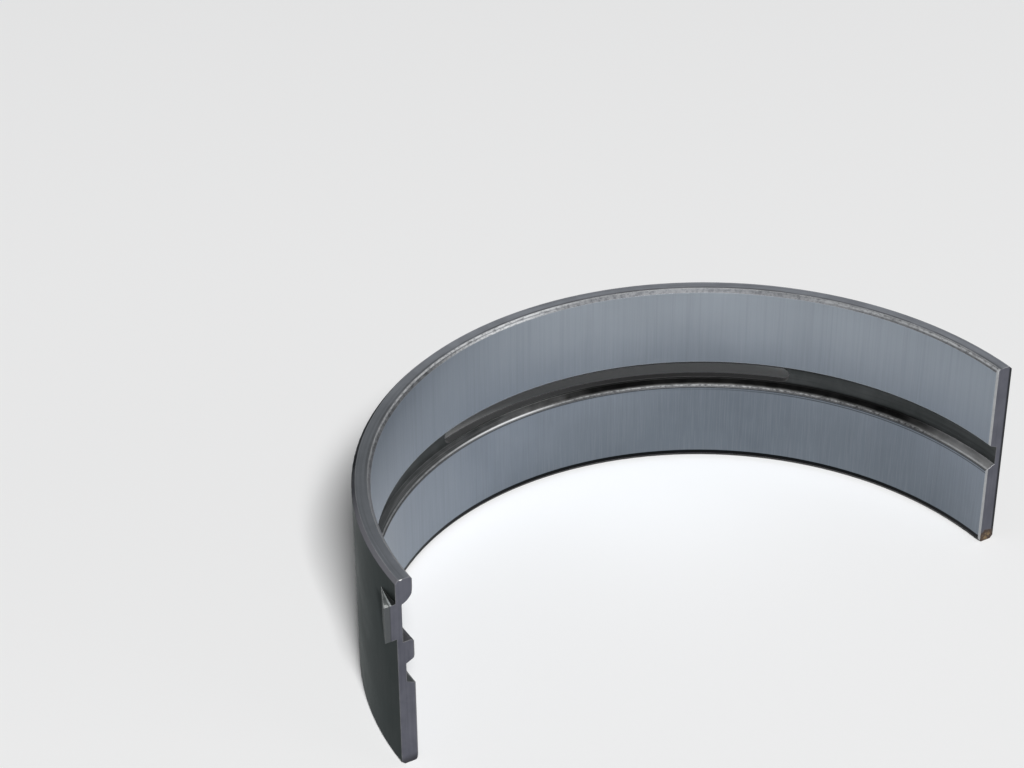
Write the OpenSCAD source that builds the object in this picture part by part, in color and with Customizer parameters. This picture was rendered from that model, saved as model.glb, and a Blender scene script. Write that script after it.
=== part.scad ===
// Grooved half shell of a plain main bearing for an engine, standing on one of its side faces.
// Origin on the bore axis at mid-width. +Z runs along the bore axis and +Y through the crown.
// The two parting faces lie in the plane y = 0, and the locating tang is at the -X end.

/* [Shell] */
// Outside diameter of the steel back, equal to the bore of its housing
back_d = 84.2; // [70:0.1:110]
// Wall thickness, steel back and bonded lining together
wall_t = 2.17; // [1.8:0.01:3]
// Width of the shell along the bore axis
shell_w = 25.5; // [22:0.1:40]

/* [Edges] */
// Chamfer round the outer edge of both side faces
back_chamfer = 0.4; // [0.1:0.05:0.8]
// Depth of the bore-edge chamfer of both side faces, into the wall
bore_chamfer = 0.36; // [0.1:0.02:0.6]
// Run of the bore-edge chamfer of both side faces, along the bore axis
bore_chamfer_run = 0.5; // [0.1:0.05:0.8]
// Chamfer along the bore edge of both parting faces
parting_chamfer = 0.2; // [0.1:0.05:0.5]

/* [Oil groove] */
// Width of the groove where its flanks would reach the bore
groove_w = 3.6; // [2.8:0.1:6]
// Depth of the groove below the bore surface
groove_depth = 1.15; // [0.6:0.05:1.4]
// How far each flank of the groove leans in from mouth to floor
flank_lean = 0.55; // [0.1:0.05:0.7]
// Depth of the 45 degree chamfer along both lips of the groove
lip_chamfer = 0.25; // [0.1:0.05:0.4]

/* [Oil slot] */
// Strip of groove floor left on each side of the slot
slot_ledge = 0.2; // [0.1:0.05:0.4]
// Angle from the crown to the slot's rounded end on the tang side
slot_near_deg = 21.8; // [5:0.2:60]
// Angle from the crown to the slot's rounded end on the other side
slot_far_deg = 47; // [5:0.2:70]

/* [Locating tang] */
// Width of the tang along the bore axis
tang_w = 4.8; // [3:0.1:6]
// Distance from the upper side face down to the tang
tang_drop = 3; // [2:0.05:4]
// How far the tang stands out from the back, and the depth of the notch pressed behind it
tang_out = 1.45; // [0.8:0.05:1.7]
// Run of the tang's ramp, measured back from the parting face
tang_run = 3.65; // [2:0.05:6]
// Run of the notch's ramp, measured back from the parting face
notch_run = 3.1; // [1.5:0.05:5]
// How far the notch's upper wall sits below the tang's upper side
notch_shift = 0.45; // [0:0.05:0.8]
// How far the notch's lower wall sits below the tang's lower side
notch_low_shift = 0.65; // [0:0.05:1]
// Draw-in radius on the notch's upper edge
notch_round = 2.1; // [0.3:0.05:2.4]
// Draw-in radius on the notch's lower edge, next to the groove
notch_low_round = 0.6; // [0.2:0.05:0.8]

/* [Hidden] */
$fn = 180;
back_r = back_d / 2;
bore_r = back_r - wall_t;
half_w = shell_w / 2;
floor_w = groove_w - 2 * flank_lean;
floor_r = bore_r + groove_depth;
// Width of the groove where its flanks meet the lip chamfers
lip_w = groove_w - 2 * lip_chamfer * flank_lean / groove_depth;
slot_w = floor_w - 2 * slot_ledge;
// Angle taken up by the slot's rounded end, at the groove floor
slot_end_deg = asin(slot_w / 2 / floor_r);
slot_from = 90 - slot_far_deg + slot_end_deg;
slot_to = 90 + slot_near_deg - slot_end_deg;
tang_hi = half_w - tang_drop;
tang_lo = tang_hi - tang_w;
notch_hi = tang_hi - notch_shift;
notch_lo = tang_lo - notch_low_shift;
// Reach of the cutting shapes past the faces they open
over = 2;
// Overlap of the shapes that make up the notch
lap = 0.01;

// Section of the wall, with its chamfered side edges, swept through the half circle
module half_ring() {
    rotate_extrude(angle = 180)
        polygon([
            [bore_r, -half_w + bore_chamfer_run],
            [bore_r + bore_chamfer, -half_w],
            [back_r - back_chamfer, -half_w],
            [back_r, -half_w + back_chamfer],
            [back_r, half_w - back_chamfer],
            [back_r - back_chamfer, half_w],
            [bore_r + bore_chamfer, half_w],
            [bore_r, half_w - bore_chamfer_run]
        ]);
}

// Oil groove with leaning flanks and chamfered lips, open at both parting faces
module groove() {
    lip_r = bore_r + lip_chamfer;
    mouth_w = lip_w + 2 * (lip_chamfer + over);
    rotate([0, 0, -5])
        rotate_extrude(angle = 190)
            polygon([
                [bore_r - over, -mouth_w / 2],
                [lip_r, -lip_w / 2],
                [floor_r, -floor_w / 2],
                [floor_r, floor_w / 2],
                [lip_r, lip_w / 2],
                [bore_r - over, mouth_w / 2]
            ]);
}

// Long oil slot through the groove floor, with a full round at each end
module slot() {
    rotate([0, 0, slot_from])
        rotate_extrude(angle = slot_to - slot_from)
            translate([bore_r - over, -slot_w / 2])
                square([wall_t + 2 * over, slot_w]);
    for (a = [slot_from, slot_to])
        rotate([0, 0, a])
            translate([bore_r - over, 0, 0])
                rotate([0, 90, 0])
                    cylinder(d = slot_w, h = wall_t + 2 * over);
}

// Wedge pressed out of the back, flush with the parting face and ramped down to the back
module tang() {
    root_r = back_r - wall_t / 2;
    translate([0, 0, tang_lo])
        linear_extrude(height = tang_w)
            polygon([
                [-root_r, 0],
                [-back_r - tang_out, 0],
                [-sqrt(pow(back_r, 2) - pow(tang_run, 2)), tang_run],
                [-sqrt(pow(root_r, 2) - pow(tang_run, 2)), tang_run]
            ]);
}

// Plan of the notch: a ramp from its full depth at the parting face up to the bore surface
module notch_plan() {
    deep_x = -bore_r - tang_out;
    end_x = -sqrt(pow(bore_r, 2) - pow(notch_run, 2));
    slope = (end_x - deep_x) / notch_run;
    polygon([
        [deep_x - slope * over, -over],
        [end_x + slope * over, notch_run + over],
        [-bore_r + 3 * over, notch_run + over],
        [-bore_r + 3 * over, -over]
    ]);
}

// Rounded edge of the notch: a corner block less a round along Y, opening towards +Z
module draw_in(r) {
    difference() {
        translate([-bore_r - r, -over, -lap])
            cube([r + 3 * over, notch_run + 2 * over, r + lap]);
        translate([-bore_r - r, -2 * over, r])
            rotate([-90, 0, 0])
                cylinder(r = r, h = notch_run + 4 * over);
    }
}

// Notch left in the bore where the tang is pressed out
module notch() {
    intersection() {
        translate([0, 0, -half_w])
            linear_extrude(height = shell_w)
                notch_plan();
        union() {
            translate([-bore_r - tang_out - over, -over, notch_lo])
                cube([tang_out + 4 * over, notch_run + 2 * over, notch_hi - notch_lo]);
            translate([0, 0, notch_hi])
                draw_in(notch_round);
            translate([0, 0, notch_lo])
                mirror([0, 0, 1])
                    draw_in(notch_low_round);
        }
    }
}

// Chamfer along the bore edge of the parting face at the -X end
module parting_edge() {
    translate([0, 0, -half_w - over])
        linear_extrude(height = shell_w + 2 * over)
            polygon([
                [-bore_r - parting_chamfer - over, -over],
                [-bore_r + over, parting_chamfer + over],
                [-bore_r + over, -over]
            ]);
}

module bearing_shell() {
    color([0.42, 0.43, 0.45])
        difference() {
            union() {
                half_ring();
                tang();
            }
            groove();
            slot();
            notch();
            parting_edge();
            mirror([1, 0, 0])
                parting_edge();
        }
}

bearing_shell();
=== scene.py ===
import math

import bpy
from mathutils import Matrix, Vector


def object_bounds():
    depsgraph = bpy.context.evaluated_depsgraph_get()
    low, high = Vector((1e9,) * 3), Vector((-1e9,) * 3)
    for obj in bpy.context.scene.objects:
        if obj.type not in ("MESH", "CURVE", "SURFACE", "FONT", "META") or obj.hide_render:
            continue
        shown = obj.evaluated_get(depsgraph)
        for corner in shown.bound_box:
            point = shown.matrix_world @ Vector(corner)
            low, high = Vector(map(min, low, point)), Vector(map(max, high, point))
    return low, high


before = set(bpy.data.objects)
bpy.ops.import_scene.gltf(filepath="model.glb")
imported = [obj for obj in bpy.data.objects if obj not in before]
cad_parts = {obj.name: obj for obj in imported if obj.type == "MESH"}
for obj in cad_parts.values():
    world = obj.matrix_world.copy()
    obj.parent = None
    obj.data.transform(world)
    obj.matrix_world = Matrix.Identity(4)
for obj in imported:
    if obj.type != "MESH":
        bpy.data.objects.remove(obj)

scene = bpy.context.scene
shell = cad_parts["bearing_shell"]
cad_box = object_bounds()
low_corner, high_corner = cad_box

# Sizes of the shell in metres. The outer ones come from the frame; the tang stands out at the -X end only.
MM = 0.001
BACK_R = high_corner[0]
HALF_W = high_corner[2]
TANG_OUT = -low_corner[0] - BACK_R
WALL = 2.17 * MM
BORE_R = BACK_R - WALL
GROOVE_DEPTH = 1.15 * MM
FLOOR_R = BORE_R + GROOVE_DEPTH
GROOVE_HALF_W = 1.94 * MM
LIP = 0.25 * MM
CHAMFER_REACH = 0.55 * MM
PARTING_CHAMFER = 0.2 * MM
TANG_RUN = 3.65 * MM
TANG_DROP = 3.0 * MM
TANG_W = 4.8 * MM
TANG_TOP = HALF_W - TANG_DROP
TANG_FOOT = TANG_TOP - TANG_W

# Marks on the shell. A line is given by half its width. The hair is the width of a sharp change of tone,
# and the slack in comparing places.
HAIR = 0.05 * MM
THIN_LINE = 0.12 * MM
CHAMFER_LINE = 0.11 * MM
LINING_STRIP = 0.12 * MM
# Height of the painted contact shadow at the foot of the bore.
FOOT_SHADOW_BAND = 1.02 * MM
TANG_BEND = 0.7 * MM
RELIEF = 0.03 * MM
# Black of the painted shade in the groove.
SHADOW_BLACK = (0.004, 0.004, 0.004)

# Stretch of the texture space for marks that run round the bore axis, and for marks along it
ROUND = (0.015, 1.0, 1.0)
ALONG = (1.0, 1.0, 0.02)

# Cosine above which a face counts as square to a direction, and above which it counts as leaning towards it
SQUARE = 0.95
LEANING = 0.5

# Width of the photograph in pixels, the unit of the camera's focal length
PHOTO_WIDTH = 1024.0


class Value:
    """A number, colour or direction that varies over a surface. Arithmetic on it adds the maths nodes."""

    def __init__(self, socket):
        self.socket = socket
        self.tree = socket.id_data

    def __add__(self, other):
        return maths(self.tree, "ADD", self, other)

    def __sub__(self, other):
        return maths(self.tree, "SUBTRACT", self, other)

    def __rsub__(self, other):
        return maths(self.tree, "SUBTRACT", other, self)

    def __mul__(self, other):
        return maths(self.tree, "MULTIPLY", self, other)

    def __truediv__(self, other):
        return maths(self.tree, "DIVIDE", self, other)

    def __abs__(self):
        return maths(self.tree, "ABSOLUTE", self)

    def root(self):
        return maths(self.tree, "SQRT", self)

    def at_least(self, other):
        return maths(self.tree, "MAXIMUM", self, other)

    def ramp(self, start, end, first=0.0, last=1.0):
        """Smooth change from first to last while the value goes from start to end."""
        node = self.tree.nodes.new("ShaderNodeMapRange")
        node.interpolation_type = "SMOOTHSTEP"
        feed(node.inputs["Value"], self)
        feed(node.inputs["From Min"], start)
        feed(node.inputs["From Max"], end)
        feed(node.inputs["To Min"], first)
        feed(node.inputs["To Max"], last)
        return Value(node.outputs[0])

    def line(self, place, half_width):
        """Mask of a thin line: 1 where the value is at the place, 0 beyond the half width."""
        return abs(self - place).ramp(half_width, 0.4 * half_width)


def feed(socket, value):
    """Links a socket to a value, or sets it to a number or a colour."""
    if isinstance(value, Value):
        value.tree.links.new(value.socket, socket)
    elif isinstance(value, tuple):
        socket.default_value = (*value, 1.0)
    else:
        socket.default_value = value


def maths(tree, operation, first, second=0.0):
    """Result of a maths node on one or two values or numbers."""
    node = tree.nodes.new("ShaderNodeMath")
    node.operation = operation
    feed(node.inputs[0], first)
    feed(node.inputs[1], second)
    return Value(node.outputs[0])


class Look:
    """The material of one surface: its node tree, the places to mask it by, and what is set so far.

    The angle is in radians round the bore axis: 0 at the end without the tang, pi at the tang's end.
    """

    def __init__(self, name):
        self.material = bpy.data.materials.new(name)
        self.material.use_nodes = True
        self.tree = self.material.node_tree
        self.shader = self.tree.nodes["Principled BSDF"]
        self.place = Value(self.add("ShaderNodeTexCoord").outputs["Object"])
        axes = self.add("ShaderNodeSeparateXYZ")
        feed(axes.inputs[0], self.place)
        self.x, self.y, self.z = (Value(socket) for socket in axes.outputs)
        self.radius = (self.x * self.x + self.y * self.y).root()
        self.angle = maths(self.tree, "ARCTAN2", self.y, self.x)
        self.tone = None
        self.rough = None
        self.normal = None
        self.metal = 1.0

    def add(self, kind):
        return self.tree.nodes.new(kind)

    def noise(self, vector, scale, detail, roughness):
        """Cloudy noise between 0 and 1; the scale is in clouds per metre."""
        node = self.add("ShaderNodeTexNoise")
        feed(node.inputs["Vector"], vector)
        feed(node.inputs["Scale"], scale)
        feed(node.inputs["Detail"], detail)
        feed(node.inputs["Roughness"], roughness)
        return Value(node.outputs["Fac"])

    def polar(self, along, radial, axial):
        """Texture space of the half ring: arc length, radius and width, each with its own stretch."""
        node = self.add("ShaderNodeCombineXYZ")
        feed(node.inputs[0], self.angle * (BORE_R * along))
        feed(node.inputs[1], self.radius * radial)
        feed(node.inputs[2], self.z * axial)
        return Value(node.outputs[0])

    def mix(self, share, first, second):
        """Blend of two colours: the first where the share is 0, the second where it is 1."""
        node = self.add("ShaderNodeMix")
        node.data_type = "RGBA"
        feed(node.inputs["Factor"], share)
        feed(node.inputs[6], first)
        feed(node.inputs[7], second)
        return Value(node.outputs[2])

    def tint(self, mask, strength, colour):
        """Lays a colour over the tone so far, where the mask is."""
        self.tone = self.mix(mask * strength, self.tone, colour)

    def soft_edge(self, radius):
        """Direction of the surface with its edges rounded a little, for the light only."""
        node = self.add("ShaderNodeBevel")
        node.samples = 6
        feed(node.inputs["Radius"], radius)
        return Value(node.outputs[0])

    def edge(self, radius):
        """How close the surface is to a sharp edge: 0 on flats, 1 on the edge."""
        node = self.add("ShaderNodeVectorMath")
        node.operation = "DOT_PRODUCT"
        true_normal = Value(self.add("ShaderNodeNewGeometry").outputs["Normal"])
        feed(node.inputs[0], self.soft_edge(radius))
        feed(node.inputs[1], true_normal)
        likeness = Value(node.outputs["Value"])
        return likeness.ramp(0.999, 0.92)

    def bump(self, height, strength, soften):
        """Fine relief on top of the softened edges."""
        node = self.add("ShaderNodeBump")
        feed(node.inputs["Strength"], strength)
        feed(node.inputs["Distance"], RELIEF)
        feed(node.inputs["Height"], height)
        feed(node.inputs["Normal"], self.soft_edge(soften))
        return Value(node.outputs[0])

    def blotch(self, centre, size, ragged):
        """Distance from a point in units of the blotch's size, made ragged: below 1 is inside."""
        spans = zip((self.x, self.y, self.z), centre, size)
        across, deep, high = ((axis - middle) / reach for axis, middle, reach in spans)
        distance = (across * across + deep * deep + high * high).root()
        wobble = self.noise(self.place, 1600.0, detail=3.0, roughness=0.6) - 0.5
        return distance + wobble * ragged

    def finish(self):
        feed(self.shader.inputs["Base Color"], self.tone)
        feed(self.shader.inputs["Metallic"], self.metal)
        feed(self.shader.inputs["Roughness"], self.rough)
        feed(self.shader.inputs["Normal"], self.normal)
        return self.material


def lining():
    """Blue-grey bearing metal of the bore: hazy, with painted shade low down, darkest low in the middle, a
    painted highlight high up towards the far end, and fine axial marks.
    """
    look = Look("bearing_lining")
    streak = look.noise(look.polar(1.0, 1.0, 0.012), 2600.0, detail=3.0, roughness=0.65)
    fine = look.noise(look.polar(1.0, 1.0, 0.02), 9000.0, detail=2.0, roughness=0.6)
    haze = look.noise(look.polar(1.0, 1.0, 1.0), 60.0, detail=4.0, roughness=0.55)
    hazy = haze.ramp(0.3, 0.7)
    # Painted shade: the bore is darker low down and darkest low in the middle.
    lower = look.mix(hazy, (0.126, 0.147, 0.172), (0.155, 0.178, 0.205))
    upper = look.mix(hazy, (0.192, 0.22, 0.258), (0.232, 0.262, 0.302))
    from_darkest = abs(look.angle - 0.85)
    painted_shade_top = from_darkest.ramp(0.3, 1.3, -12.0 * MM, -30.0 * MM)
    look.tone = look.mix((look.z - painted_shade_top).ramp(1.0 * MM, 22.0 * MM), lower, upper)
    # Painted highlight on the upper half of the bore towards the far end.
    bright = look.angle.ramp(2.5, 1.2) * look.z.ramp(0.0, 11.0 * MM)
    look.tint(bright, strength=0.4, colour=(0.42, 0.455, 0.49))
    look.tint(streak.ramp(0.42, 0.72), strength=0.12, colour=(0.1, 0.108, 0.126))
    look.tint(fine.ramp(0.45, 0.7), strength=0.1, colour=(0.36, 0.38, 0.42))
    # Lighter edges: partly wear, partly a painted edge highlight.
    look.tint(look.edge(0.16 * MM), strength=0.5, colour=(0.62, 0.63, 0.64))
    bore_rings_and_foot_shadow(look)
    look.rough = haze.ramp(0.25, 0.75, 0.36, 0.48)
    look.normal = look.bump(streak, strength=0.05, soften=0.08 * MM)
    return look.finish()


def bore_rings_and_foot_shadow(look):
    """Dark rings round the bore below the groove, the second at the far end only, and a black band at its
    foot that is painted contact shadow.
    """
    below_lip = -GROOVE_HALF_W - look.z
    first_ring = below_lip.line(0.07 * MM, THIN_LINE)
    look.tint(first_ring, strength=0.8, colour=(0.03, 0.031, 0.033))
    second_ring = below_lip.line(0.36 * MM, THIN_LINE) * look.angle.ramp(1.3, 0.6)
    look.tint(second_ring, strength=0.7, colour=(0.04, 0.042, 0.045))
    # Painted contact shadow: a black band along the foot of the bore.
    foot_shadow_top = FOOT_SHADOW_BAND - HALF_W
    look.tint(look.z.ramp(foot_shadow_top, foot_shadow_top - HAIR), strength=0.97, colour=(0.003, 0.003, 0.003))


def steel(name, dark, light, grain, rough, lines, relief, edge):
    """Bare steel: mottled between two tones, with machining lines one way, and edges painted lighter, partly
    as wear and partly as a painted edge highlight.

    The grain is in clouds per metre, the lines a stretch of the texture space, the edge a grey level.
    """
    look = Look(name)
    mottle = look.noise(look.place, grain, detail=5.0, roughness=0.6)
    marks = look.noise(look.polar(*lines), 3000.0, detail=3.0, roughness=0.65)
    patchy = look.noise(look.place, 900.0, detail=3.0, roughness=0.6).ramp(0.3, 0.65, 0.3, 1.0)
    look.tone = look.mix(mottle.ramp(0.3, 0.7), dark, light)
    shaded = tuple(0.55 * part for part in dark)
    look.tint(marks.ramp(0.45, 0.72), strength=1.6 * relief, colour=shaded)
    # Lighter edges: partly wear, partly a painted edge highlight.
    look.tint(look.edge(0.18 * MM) * patchy, strength=0.8, colour=(edge, edge, edge))
    look.rough = mottle.ramp(0.25, 0.75, rough - 0.06, rough + 0.08)
    look.normal = look.bump(marks, relief, soften=0.1 * MM)
    return look


def add_rust(look):
    """Small rust blotch at the foot of the end without the tang."""
    centre = (BORE_R + 1.1 * MM, 0.0, -HALF_W + 0.5 * MM)
    away = look.blotch(centre, size=(1.25 * MM, 1.2 * MM, 1.2 * MM), ragged=0.9)
    cover = away.ramp(1.15, 0.75)
    speckle = look.noise(look.place, 2400.0, detail=4.0, roughness=0.65).ramp(0.42, 0.62)
    pale = speckle * away.ramp(0.72, 0.32)
    rust = look.mix(pale, (0.03, 0.017, 0.011), (0.14, 0.095, 0.048))
    look.tone = look.mix(cover, look.tone, rust)
    look.metal = 1.0 - cover
    look.rough = look.rough.at_least(cover * 0.85)


def side_face():
    """Turned side faces, duller on the quarter next to the tang, with a broken dark line near the bore."""
    look = steel("side_face_steel", dark=(0.132, 0.141, 0.16), light=(0.184, 0.196, 0.218),
                 grain=260.0, rough=0.38, lines=ROUND, relief=0.3, edge=0.5)
    dull = look.angle.ramp(1.8, 2.5) * look.angle.ramp(3.1, 2.75, 0.55, 1.0)
    look.tint(dull, strength=0.62, colour=(0.05, 0.056, 0.06))
    broken = look.noise(look.place, 250.0, detail=3.0, roughness=0.6).ramp(0.3, 0.6, 0.4, 1.0)
    turned_line = look.radius.line(BORE_R + 0.56 * MM, 0.2 * MM) * look.angle.ramp(2.8, 2.5)
    look.tint(turned_line * broken, strength=0.75, colour=(0.045, 0.048, 0.052))
    return look.finish()


def parting_face():
    """Parting faces: lighter strip along the bore, greener tang front, painted shade along the far back
    edge, a burr painted white as a glint, and the rust.
    """
    look = steel("parting_face_steel", dark=(0.106, 0.109, 0.133), light=(0.136, 0.139, 0.166),
                 grain=300.0, rough=0.4, lines=ALONG, relief=0.15, edge=0.24)
    strip_end = BORE_R + LINING_STRIP
    look.tint(look.radius.ramp(strip_end + HAIR, strip_end - HAIR), strength=0.6, colour=(0.27, 0.275, 0.29))
    bend = -BACK_R - TANG_BEND
    look.tint(look.x.ramp(bend + HAIR, bend - HAIR), strength=0.7, colour=(0.095, 0.104, 0.1))
    look.tint(look.x.line(bend, THIN_LINE), strength=0.35, colour=(0.05, 0.052, 0.055))
    # Painted shade along the back edge of the far parting face.
    far_back_edge_shade = look.x.ramp(BACK_R - 0.45 * MM, BACK_R - 0.25 * MM)
    look.tint(far_back_edge_shade, strength=0.85, colour=(0.015, 0.016, 0.018))
    tang_end_foot = look.z.ramp(1.3 * MM - HALF_W, 0.2 * MM - HALF_W) * look.x.ramp(0.0, -BORE_R)
    look.tint(tang_end_foot, strength=0.7, colour=(0.03, 0.03, 0.032))
    # The burr is painted white as a glint.
    near_corner = (0.7 * MM - BACK_R, 0.0, HALF_W)
    burr = look.blotch(near_corner, size=(0.2 * MM, 0.3 * MM, 0.16 * MM), ragged=0.3)
    look.tint(burr.ramp(1.1, 0.6), strength=1.0, colour=(0.95, 0.95, 0.95))
    add_rust(look)
    return look.finish()


def back():
    """Dark plain steel back, with painted shade in the corner behind the tang and the rust creeping round
    the far end.
    """
    look = steel("back_steel", dark=(0.036, 0.041, 0.041), light=(0.054, 0.059, 0.059),
                 grain=140.0, rough=0.42, lines=ALONG, relief=0.12, edge=0.12)
    feed(look.shader.inputs["Specular Tint"], (0.5, 0.52, 0.52))
    # Painted shade on the back beside the tang's ramp.
    reach = look.z.ramp(TANG_FOOT - 2.0 * MM, TANG_TOP, 0.2 * MM, 1.8 * MM)
    past_ramp = look.y - TANG_RUN - reach
    corner = past_ramp.ramp(0.6 * MM, -0.8 * MM) * look.y.ramp(TANG_RUN - 0.6 * MM, TANG_RUN)
    above_foot = look.z.ramp(TANG_FOOT - 1.8 * MM, TANG_FOOT - 1.0 * MM)
    below_top = look.z.ramp(TANG_TOP - 0.8 * MM, TANG_TOP - 1.6 * MM)
    tang_end = look.x.ramp(0.0, -BORE_R / 2)
    look.tint(corner * (above_foot * below_top) * tang_end, strength=0.75, colour=(0.009, 0.01, 0.01))
    add_rust(look)
    return look.finish()


def sheared_face():
    """Upper side of the tang: a painted glint near its tip, lighter towards its outer edge and near-black at
    the root.
    """
    look = steel("sheared_steel", dark=(0.122, 0.131, 0.13), light=(0.186, 0.2, 0.198),
                 grain=900.0, rough=0.6, lines=ALONG, relief=0.3, edge=0.4)
    # Painted glint near the tip of the tang.
    tip = (-BACK_R - 1.05 * MM, 0.2 * MM, TANG_TOP)
    glint = look.blotch(tip, size=(0.28 * MM, 0.32 * MM, 0.5 * MM), ragged=0.4)
    look.tint(glint.ramp(1.1, 0.6), strength=0.8, colour=(0.6, 0.62, 0.61))
    tang_height = (TANG_RUN - look.y) * (TANG_OUT / TANG_RUN)
    share = (look.radius - BACK_R) / tang_height
    look.tint(share.ramp(0.54, 0.44), strength=0.85, colour=(0.5, 0.53, 0.53))
    look.tint(share.ramp(0.38, 0.3), strength=0.95, colour=(0.008, 0.009, 0.009))
    return look.finish()


def shaded_stretch(look):
    """Mask of the middle stretch of the groove, whose lower corner is painted black as shade."""
    return look.angle.ramp(0.15, 0.38) * look.angle.ramp(1.65, 1.35)


def groove_floor():
    """Dark floor of the oil groove, painted black as shade along its lower corner, and along its upper one
    near the tang.
    """
    look = steel("groove_steel", dark=(0.043, 0.047, 0.047), light=(0.069, 0.073, 0.074),
                 grain=320.0, rough=0.5, lines=ROUND, relief=0.3, edge=0.08)
    look.tint(look.angle.ramp(1.9, 2.5), strength=0.3, colour=(0.13, 0.138, 0.14))
    # Painted shade: black along the lower corner of the groove.
    lower_corner_shade = look.z.ramp(-0.8 * MM, -1.2 * MM) * shaded_stretch(look)
    look.tint(lower_corner_shade, strength=0.9, colour=SHADOW_BLACK)
    # Painted shade: black under the upper lip near the tang.
    upper_shade_height = look.angle.ramp(2.4, math.pi, 0.8 * MM, 0.1 * MM)
    upper_corner_shade = (look.z - upper_shade_height).ramp(0.0, 0.2 * MM) * look.angle.ramp(2.1, 2.4)
    look.tint(upper_corner_shade, strength=0.95, colour=SHADOW_BLACK)
    return look.finish()


def groove_flank():
    """Leaning flanks of the groove: painted black as shade by the floor, streaked towards the tang, bright
    at the far end.
    """
    look = steel("flank_steel", dark=(0.15, 0.152, 0.152), light=(0.25, 0.25, 0.25),
                 grain=600.0, rough=0.42, lines=ROUND, relief=0.3, edge=0.3)
    look.tint(look.angle.ramp(1.5, 1.85), strength=0.85, colour=(0.075, 0.079, 0.081))
    streaks = look.noise(look.polar(*ROUND), 7000.0, detail=2.0, roughness=0.6).ramp(0.48, 0.6)
    look.tint(streaks * look.angle.ramp(1.4, 1.8), strength=0.3, colour=(0.3, 0.305, 0.31))
    look.tint(look.angle.ramp(2.1, 2.5), strength=0.75, colour=(0.05, 0.054, 0.056))
    look.tint(look.angle.ramp(0.4, 0.12), strength=0.6, colour=(0.36, 0.363, 0.37))
    # Painted shade: black by the groove floor.
    by_floor_shade = look.radius.ramp(FLOOR_R - 0.88 * MM, FLOOR_R - 0.6 * MM)
    look.tint(by_floor_shade * shaded_stretch(look), strength=0.95, colour=(0.005, 0.005, 0.005))
    return look.finish()


def groove_lip():
    """Lip chamfers of the groove: the lower one speckled, with painted highlights on the tang side and at
    the far end, the upper one painted dark as shade.
    """
    look = steel("lip_steel", dark=(0.03, 0.031, 0.033), light=(0.2, 0.203, 0.207),
                 grain=2200.0, rough=0.55, lines=ROUND, relief=0.3, edge=0.25)
    # Painted highlight on the tang side of the crown.
    bright = look.angle.ramp(1.45, 1.7) * look.angle.ramp(2.05, 1.75, 0.25, 1.0)
    look.tint(bright, strength=0.85, colour=(0.62, 0.63, 0.64))
    # Painted highlight at the far end.
    look.tint(look.angle.ramp(0.3, 0.1), strength=0.7, colour=(0.4, 0.405, 0.41))
    bore_half = look.radius.ramp(BORE_R + 0.13 * MM, BORE_R + 0.07 * MM)
    look.tint(bore_half, strength=0.8, colour=(0.035, 0.036, 0.038))
    # Painted shade on the upper lip.
    upper_lip_shade = look.z.ramp(0.0, 0.5 * MM)
    look.tint(upper_lip_shade, strength=0.95, colour=(0.01, 0.01, 0.011))
    return look.finish()


def slot_wall():
    """Cut walls of the oil slot, painted black as shade at the far end and paler towards the tang."""
    # The near-black tones of the slot walls are painted shade.
    look = steel("slot_steel", dark=(0.008, 0.008, 0.009), light=(0.014, 0.014, 0.015),
                 grain=320.0, rough=0.5, lines=ROUND, relief=0.3, edge=0.08)
    look.tint(look.angle.ramp(1.2, 1.75), strength=0.38, colour=(0.09, 0.093, 0.095))
    return look.finish()


def bore_edge():
    """Upper chamfer of the bore and those of the parting faces: speckled, with a painted highlight away from
    the crown, and broken lines along them.
    """
    look = steel("bore_edge", dark=(0.055, 0.057, 0.062), light=(0.16, 0.164, 0.171),
                 grain=2200.0, rough=0.6, lines=ROUND, relief=0.2, edge=0.3)
    speckle_space = look.polar(0.6, 1.0, 1.0)
    speckle = look.noise(speckle_space, 3000.0, detail=3.0, roughness=0.7).ramp(0.32, 0.6, 0.2, 1.0)
    # Painted highlight: lighter away from the crown, less so at the far end.
    from_dullest = abs(look.angle - 1.12)
    duller_far_end = look.angle.ramp(0.9, 1.3, 0.5, 1.0)
    lit = from_dullest.ramp(0.25, 0.6) * look.angle.ramp(2.1, 1.75) * duller_far_end
    look.tint(lit * speckle, strength=0.45, colour=(0.4, 0.41, 0.42))
    chamfer_lines(look, lit, speckle)
    look.tint(look.angle.ramp(2.5, 2.8), strength=0.6, colour=(0.2, 0.205, 0.22))
    far_parting = look.y.ramp(0.4 * MM, 0.25 * MM) * look.x.ramp(0.0, BORE_R)
    look.tint(far_parting, strength=0.42, colour=(0.6, 0.61, 0.62))
    return look.finish()


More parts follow.
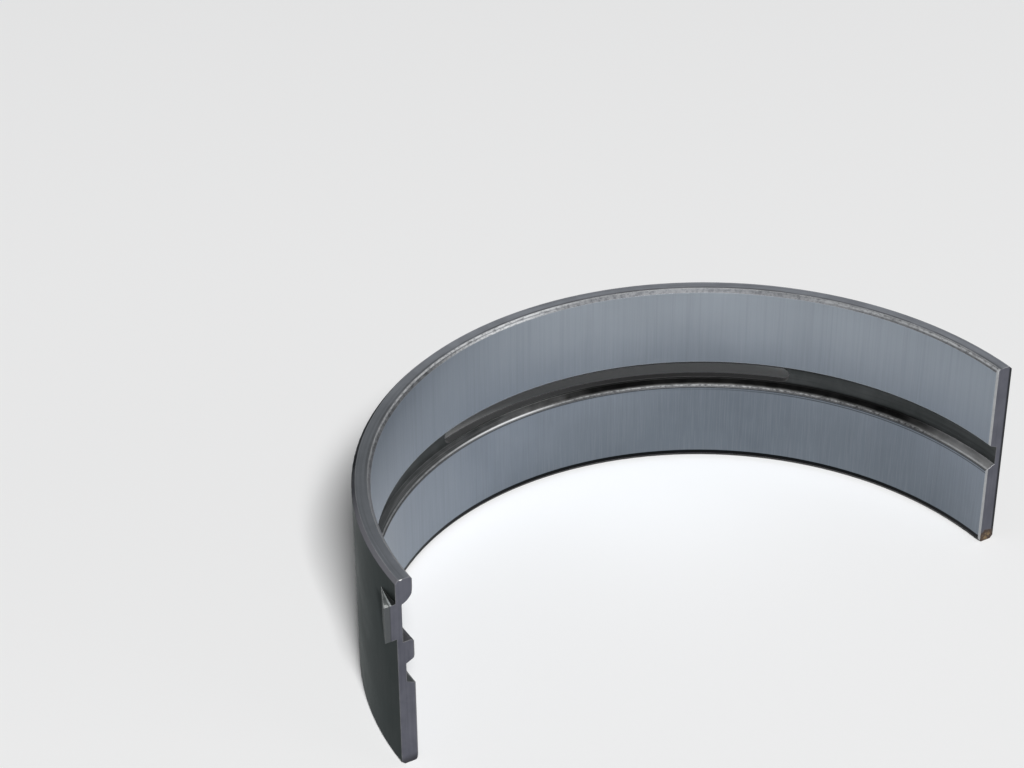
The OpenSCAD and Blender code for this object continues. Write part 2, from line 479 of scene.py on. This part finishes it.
def chamfer_lines(look, lit, speckle):
    """Painted highlight lines along the upper chamfer on the tang side, and at the far end a painted
    highlight line and a painted shade line.
    """
    upper = look.z.ramp(HALF_W - 0.7 * MM, HALF_W - 0.55 * MM) * speckle
    tang_side = upper * look.angle.ramp(1.35, 1.7)
    far_end = upper * look.angle.ramp(0.75, 0.45)
    rim_line = look.radius.line(BORE_R + 0.3 * MM, CHAMFER_LINE)
    middle_line = look.radius.line(BORE_R + 0.2 * MM, CHAMFER_LINE)
    bore_line = look.radius.line(BORE_R + 0.06 * MM, CHAMFER_LINE)
    fades_to_tang = look.angle.ramp(2.7, 2.0, 0.3, 1.0)
    fades_to_crown = look.angle.ramp(0.2, 0.4, 1.0, 0.5)
    # Painted highlight lines along the chamfer.
    look.tint(rim_line * tang_side * fades_to_tang, strength=0.7, colour=(0.55, 0.56, 0.57))
    look.tint(bore_line * tang_side * lit, strength=0.7, colour=(0.6, 0.61, 0.62))
    look.tint(middle_line * far_end * fades_to_crown, strength=0.55, colour=(0.5, 0.51, 0.52))
    # Painted shade line at the far end.
    look.tint(bore_line * far_end, strength=0.5, colour=(0.06, 0.062, 0.066))


def bore_foot():
    """Chamfer of the bore at the foot of the shell, painted dark as contact shadow."""
    look = steel("bore_foot", dark=(0.012, 0.012, 0.013), light=(0.026, 0.026, 0.027),
                 grain=700.0, rough=0.5, lines=ROUND, relief=0.3, edge=0.3)
    return look.finish()


def outer_edge():
    """Dull chamfer between the side faces and the back, paler next to the tang."""
    look = steel("outer_edge", dark=(0.05, 0.052, 0.056), light=(0.072, 0.075, 0.08),
                 grain=260.0, rough=0.45, lines=ROUND, relief=0.25, edge=0.1)
    feed(look.shader.inputs["Specular Tint"], (0.25, 0.26, 0.26))
    look.tint(look.angle.ramp(2.6, 2.9), strength=0.85, colour=(0.15, 0.15, 0.166))
    return look.finish()


def notch():
    """Walls and ramp of the notch behind the tang."""
    look = steel("notch_steel", dark=(0.06, 0.06, 0.066), light=(0.092, 0.092, 0.1),
                 grain=420.0, rough=0.45, lines=ALONG, relief=0.2, edge=0.18)
    return look.finish()


def zone(face):
    """Which surface of the shell a face belongs to, by its place and the way it faces."""
    place, normal = face.center, face.normal
    from_axis = Vector((place.x, place.y, 0.0))
    radius = from_axis.length
    outward = normal.dot(from_axis.normalized())
    if abs(normal.z) > SQUARE and abs(place.z) > HALF_W - HAIR:
        return "side"
    if normal.y < -SQUARE and abs(place.y) < HAIR:
        return "parting"
    if abs(normal.z) > LEANING and abs(place.z) > HALF_W - CHAMFER_REACH:
        if outward > 0:
            return "outer"
        return "chamfer" if place.z > 0 else "foot"
    if normal.z > SQUARE and radius > BACK_R + HAIR:
        return "sheared"
    if radius > BACK_R - HAIR:
        return "back"
    if normal.y < -LEANING and abs(normal.x) > LEANING and place.y < PARTING_CHAMFER:
        return "chamfer"
    if outward < -SQUARE and radius < BORE_R + HAIR:
        return "lining"
    if abs(place.z) < GROOVE_HALF_W + HAIR:
        return groove_zone(radius, outward)
    return "notch"


def groove_zone(radius, outward):
    """Which surface of the groove a face belongs to, by its radius and how far it faces outward."""
    if radius < BORE_R + LIP:
        return "lip"
    if radius > FLOOR_R + HAIR:
        return "slot"
    return "floor" if outward < -SQUARE else "flank"


def paint_shell():
    """Gives the shell its materials, each on the faces of its own zone."""
    materials = {
        "lining": lining(),
        "side": side_face(),
        "chamfer": bore_edge(),
        "foot": bore_foot(),
        "outer": outer_edge(),
        "parting": parting_face(),
        "sheared": sheared_face(),
        "notch": notch(),
        "back": back(),
        "floor": groove_floor(),
        "flank": groove_flank(),
        "lip": groove_lip(),
        "slot": slot_wall(),
    }
    order = list(materials)
    shell.data.materials.clear()
    for material in materials.values():
        shell.data.materials.append(material)
    for face in shell.data.polygons:
        face.material_index = order.index(zone(face))


def white_floor():
    """Pale floor under the shell, reaching far past the picture."""
    bpy.ops.mesh.primitive_plane_add(size=12.0, location=(0, 0, -HALF_W))
    floor = bpy.context.object
    floor.name = "floor"
    paint = bpy.data.materials.new("floor_white")
    paint.use_nodes = True
    shader = paint.node_tree.nodes["Principled BSDF"]
    shader.inputs["Base Color"].default_value = (0.9, 0.9, 0.9, 1.0)
    shader.inputs["Roughness"].default_value = 0.8
    shader.inputs["Specular IOR Level"].default_value = 0.0
    floor.data.materials.append(paint)


def studio_world(light_strength):
    """Faint even light, with a white surround where the camera, a reflection or glass shows it."""
    world = bpy.data.worlds.new("studio")
    scene.world = world
    world.use_nodes = True
    tree = world.node_tree
    lit = tree.nodes["Background"]
    lit.inputs["Color"].default_value = (0.94, 0.97, 1.0, 1.0)
    lit.inputs["Strength"].default_value = light_strength
    white = tree.nodes.new("ShaderNodeBackground")
    white.inputs["Color"].default_value = (1.0, 1.0, 1.0, 1.0)
    path = tree.nodes.new("ShaderNodeLightPath")
    seen = path.outputs["Is Camera Ray"]
    for ray in ("Is Glossy Ray", "Is Transmission Ray"):
        either = tree.nodes.new("ShaderNodeMath")
        either.operation = "MAXIMUM"
        tree.links.new(seen, either.inputs[0])
        tree.links.new(path.outputs[ray], either.inputs[1])
        seen = either.outputs[0]
    mix = tree.nodes.new("ShaderNodeMixShader")
    tree.links.new(seen, mix.inputs[0])
    tree.links.new(lit.outputs[0], mix.inputs[1])
    tree.links.new(white.outputs[0], mix.inputs[2])
    tree.links.new(mix.outputs[0], tree.nodes["World Output"].inputs[0])


def direction(azimuth, elevation):
    """Unit vector away from the shell, at angles in degrees: azimuth 0 points to -Y, and 90 to +X."""
    around = math.radians(azimuth)
    above = math.radians(elevation)
    flat = math.cos(above)
    return Vector((math.sin(around) * flat, -math.cos(around) * flat, math.sin(above)))


def softbox(name, azimuth, elevation, distance, size, power):
    """Rectangular lamp that faces the shell, at a distance in metres and with its power in watts."""
    away = direction(azimuth, elevation)
    lamp = bpy.data.lights.new(name, "AREA")
    lamp.shape = "RECTANGLE"
    lamp.size, lamp.size_y = size
    lamp.energy = power
    box = bpy.data.objects.new(name, lamp)
    scene.collection.objects.link(box)
    box.location = away * distance
    box.rotation_euler = away.to_track_quat("Z", "Y").to_euler()


def photo_camera(azimuth, elevation, roll, eye, focal_px):
    """Camera at the photograph's angle, with its eye in outside radii and its focal length in pixels."""
    away = direction(azimuth, elevation)
    level = Vector((math.cos(math.radians(azimuth)), math.sin(math.radians(azimuth)), 0.0))
    upright = away.cross(level)
    lean = math.radians(roll)
    right = level * math.cos(lean) + upright * math.sin(lean)
    up = upright * math.cos(lean) - level * math.sin(lean)
    lens = bpy.data.cameras.new("camera")
    lens.sensor_fit = "HORIZONTAL"
    lens.sensor_width = 36.0
    lens.lens = focal_px * lens.sensor_width / PHOTO_WIDTH
    lens.clip_start = 0.01
    camera = bpy.data.objects.new("camera", lens)
    scene.collection.objects.link(camera)
    turn = Matrix((right, up, away)).transposed().to_4x4()
    camera.matrix_world = Matrix.Translation(Vector(eye) * BACK_R) @ turn
    scene.camera = camera


paint_shell()
white_floor()
studio_world(light_strength=0.07)
softbox("front_key", azimuth=-20.0, elevation=42.0, distance=6.0, size=(1.26, 0.84), power=450.0)
softbox("side_fill", azimuth=38.0, elevation=19.0, distance=2.0, size=(1.0, 0.5), power=1.5)
photo_camera(azimuth=-29.96, elevation=32.44, roll=-0.53, eye=(-3.2487, -4.5034, 4.0845), focal_px=2485.2)
scene.view_settings.view_transform = "Standard"
